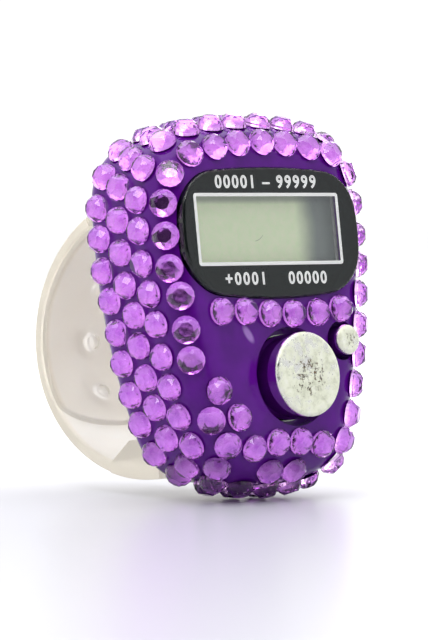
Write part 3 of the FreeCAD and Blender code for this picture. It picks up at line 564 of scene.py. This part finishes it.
def printed_sheet():
    """The black printing: the window's own back and sides a hair inside it, with the display's opening."""
    sheet = copy_of("display_window", "window_print")
    edit(sheet, "VERT")
    bpy.ops.mesh.select_all(action="SELECT")
    low, high = box_of(sheet)
    bpy.ops.transform.resize(value=PRINT_SHARE, center_override=(low + high) / 2)
    bpy.ops.mesh.select_mode(type="FACE")
    pick(sheet, lambda f: f.normal.y < -0.2)
    bpy.ops.mesh.delete(type="FACE")
    done(sheet)
    deselect()
    bpy.ops.mesh.primitive_cube_add(size=1, location=(0, PRINT_Y, 0))
    cutter = bpy.context.object
    cutter.scale = (FRAME_SIZE[0] - FRAME_LINE, 2, FRAME_SIZE[1] - FRAME_LINE)
    apply_transform(cutter)
    modify(sheet, "SOLIDIFY", thickness=PRINT_THICKNESS, offset=-1.0)
    modify(sheet, "BOOLEAN", object=cutter, operation="DIFFERENCE", solver="EXACT")
    bpy.data.objects.remove(cutter)
    return sheet


def mark(text, x, z, height, spacing):
    """Plain numbers printed on the window."""
    deselect()
    bpy.ops.object.text_add(location=(x, INK_Y, z), rotation=(math.pi / 2, 0, 0))
    words = bpy.context.object
    words.data.body = text
    words.data.size = height / DIGIT_SHARE
    words.data.align_x = "CENTER"
    words.data.align_y = "CENTER"
    words.data.offset = DIGIT_BOLDNESS
    words.data.space_character = spacing
    words.data.extrude = DIGIT_THICKNESS
    words.data.resolution_u = 4
    bpy.ops.object.convert(target="MESH")
    return bpy.context.object


def window():
    give_node("display_window", window_clear())
    sheet = place(printed_sheet())
    give(sheet, "case", "window_acrylic", print_black())
    ink = place(join([frame_line(), *[mark(*each) for each in MARKS]], "window_ink"))
    give(ink, "case", "window_acrylic", print_white_with_painted_glow())


# ---- soft domes --------------------------------------------------------------------------------------
def soft_domes(finish):
    """Smoothed copies of the domes, in place of the CAD ones."""
    presses = (("count_dome", "count_press", COUNT_TRAVEL), ("reset_dome", "reset_press", RESET_TRAVEL))
    for node, joint, travel in presses:
        dome = copy_of(node, "soft_" + node)
        place(dome)
        give(dome, "case", "dome_silicone", finish)
        smooth(dome)
        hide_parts(node)
        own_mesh(dome)


# ---- nodes kept as they are --------------------------------------------------------------------------
def give_node(node, material):
    obj = NODES[node]
    obj.data.materials.clear()
    obj.data.materials.append(material)


def kept_nodes():
    purple = purple_plastic()
    steel = plain_metal("zinc plated steel", (0.45, 0.45, 0.46), (0.62, 0.62, 0.63), 0.3)
    brass = plain_metal("spring brass", (0.55, 0.42, 0.18), (0.75, 0.60, 0.28), 0.25)
    dome = plain_plastic("silicone", (0.70, 0.70, 0.68), (0.82, 0.82, 0.80), 0.5)
    finishes = {
        "front_shell": purple, "rear_shell": purple, "battery_door": purple,
        "case_screws": steel, "board_screws": steel, "door_screw": steel,
        "negative_contact": brass, "positive_contact": brass,
        "display_cradle": plain_plastic("white cradle", (0.62, 0.64, 0.62), (0.74, 0.76, 0.74), 0.5),
        "lcd_glass": lcd_face(),
        "lcd_reflector": plain_metal("satin film", (0.55, 0.58, 0.50), (0.65, 0.68, 0.60), 0.4),
        "contact_strips": plain_plastic("banded rubber", (0.25, 0.08, 0.12), (0.50, 0.20, 0.28), 0.6, 4.0),
        "circuit_board": circuit_board_finish(),
        "chip_blob": plain_plastic("black resin", (0.008, 0.008, 0.008), (0.02, 0.02, 0.02), 0.2),
        "chip_parts": plain_plastic("ceramic", (0.20, 0.13, 0.07), (0.34, 0.24, 0.14), 0.4, 3.0),
        "button_cell": plain_metal("cell steel", (0.60, 0.60, 0.58), (0.74, 0.74, 0.72), 0.22),
        "count_button": worn_chrome("worn chrome cap", COUNT_CENTRE, COUNT_TOP_Y, COUNT_R),
        "reset_button": worn_chrome("worn chrome small cap", RESET_CENTRE, RESET_TOP_Y, RESET_R),
        "strap_holed": milky_strap(), "strap_knobbed": milky_strap(),
    }
    for node, material in finishes.items():
        give_node(node, material)
    soft_domes(dome)
    for node in ("front_shell", "rear_shell", "count_button", "reset_button", "strap_holed", "strap_knobbed",
                 "display_window"):
        smooth(NODES[node])


# ---- studio, in metres -------------------------------------------------------------------------------
CAMERA_YAW = math.radians(40.98)
CAMERA_ELEVATION = math.radians(1.85)
# the display's centre as the camera sees it: right, away, up
CAMERA_OFFSET = Vector((6.025, 430.0, 9.815)) * MM
CAMERA_WAY = (-0.655, -0.755, 0.032)      # from the object towards the camera
LENS = 224.9
SENSOR = 36.0
BRIGHT_WAY = (0.0, 1.0, 0.9)              # the middle of the surround's white part
FLOOR_R = 3.0
FLOOR_Z = -0.00005
LIGHT_TARGET = (0, 0, 0.02)
LIGHTS = [                                # name, place, size, watts
    ("overhead", (0.05, 0.10, 0.75), (0.9, 0.9), 4.5),
    ("key", (-0.45, -0.35, 0.62), (0.30, 0.30), 1.6),
    ("rim", (0.55, 0.35, 0.30), (0.3, 0.5), 1.2),
]


def studio_camera():
    data = bpy.data.cameras.new("camera")
    data.lens = LENS
    data.sensor_width = SENSOR
    camera = bpy.data.objects.new("camera", data)
    bpy.context.collection.objects.link(camera)
    level = Matrix.Rotation(-CAMERA_YAW, 3, "Z")
    right = level @ Vector((1, 0, 0))
    ahead = level @ Vector((0, math.cos(CAMERA_ELEVATION), -math.sin(CAMERA_ELEVATION)))
    up = right.cross(ahead)
    eye = STAND - right * CAMERA_OFFSET.x - ahead * CAMERA_OFFSET.y - up * CAMERA_OFFSET.z
    axes = Matrix((right, up, -ahead)).transposed().to_4x4()
    camera.matrix_world = Matrix.Translation(eye) @ axes
    bpy.context.scene.camera = camera


def soft_light(name, at, size, watts):
    data = bpy.data.lights.new(name, "AREA")
    data.shape = "RECTANGLE"
    data.size, data.size_y = size
    data.energy = watts
    light = bpy.data.objects.new(name, data)
    bpy.context.collection.objects.link(light)
    light.location = at
    light.rotation_euler = (Vector(LIGHT_TARGET) - Vector(at)).to_track_quat("-Z", "Y").to_euler()


def studio_floor():
    """A pale floor, white behind the object and greyer and a little lavender in front of it: a painted shadow
    of the object, tinted with painted bounce light from the purple case.
    """
    deselect()
    bpy.ops.mesh.primitive_circle_add(vertices=128, radius=FLOOR_R, fill_type="NGON",
                                      location=(0, 0, FLOOR_Z))
    floor = bpy.context.object
    floor.name = "floor"
    n = new_material("pale floor")
    in_front = n.dot(n.add("TexCoord").outputs["Object"], CAMERA_WAY)
    # painted shadow: grey-lavender near and in front of the object, lighter further off, white behind
    shade = n.ramp(n.math("MULTIPLY_ADD", in_front, 1.4, 0.3), (0.12, 1.0), (0.30, (0.56, 0.56, 0.61)),
                   (0.37, (0.54, 0.54, 0.60)), (0.80, (0.66, 0.67, 0.69)))
    n.surface(Base_Color=shade, Roughness=0.3)
    floor.data.materials.append(n.owner)


def studio_surround():
    """White behind and above, a little dimmer in front, and dark where a camera would stand."""
    world = bpy.data.worlds.new("studio")
    bpy.context.scene.world = world
    n = Nodes(world)
    direction = n.add("TexCoord").outputs["Generated"]
    white = n.step(n.dot(direction, BRIGHT_WAY), -0.45, 0.40)
    dark = n.step(n.dot(direction, CAMERA_WAY), 0.64, 0.88)
    level = n.mix(white, (0.84, 0.86, 0.88), (1.08, 1.08, 1.08))
    sky = n.tree.nodes["Background"]
    n.tree.links.new(n.mix(dark, level, (0.03, 0.03, 0.035)), sky.inputs["Color"])
    sky.inputs["Strength"].default_value = 1.0


def studio():
    studio_floor()
    studio_surround()
    for each in LIGHTS:
        soft_light(*each)
    bpy.context.scene.view_settings.view_transform = "Standard"
    studio_camera()


def main():
    kept_nodes()
    finishes = (stone_body(), stone_foil())
    pattern = stone_pattern(finishes)
    rng = random.Random(STONE_SEED)
    for node in sorted(n for n in NODES if n.startswith("crystals")):
        stones(node, pattern, finishes, rng)
    bpy.data.objects.remove(pattern)
    window()
    studio()


main()
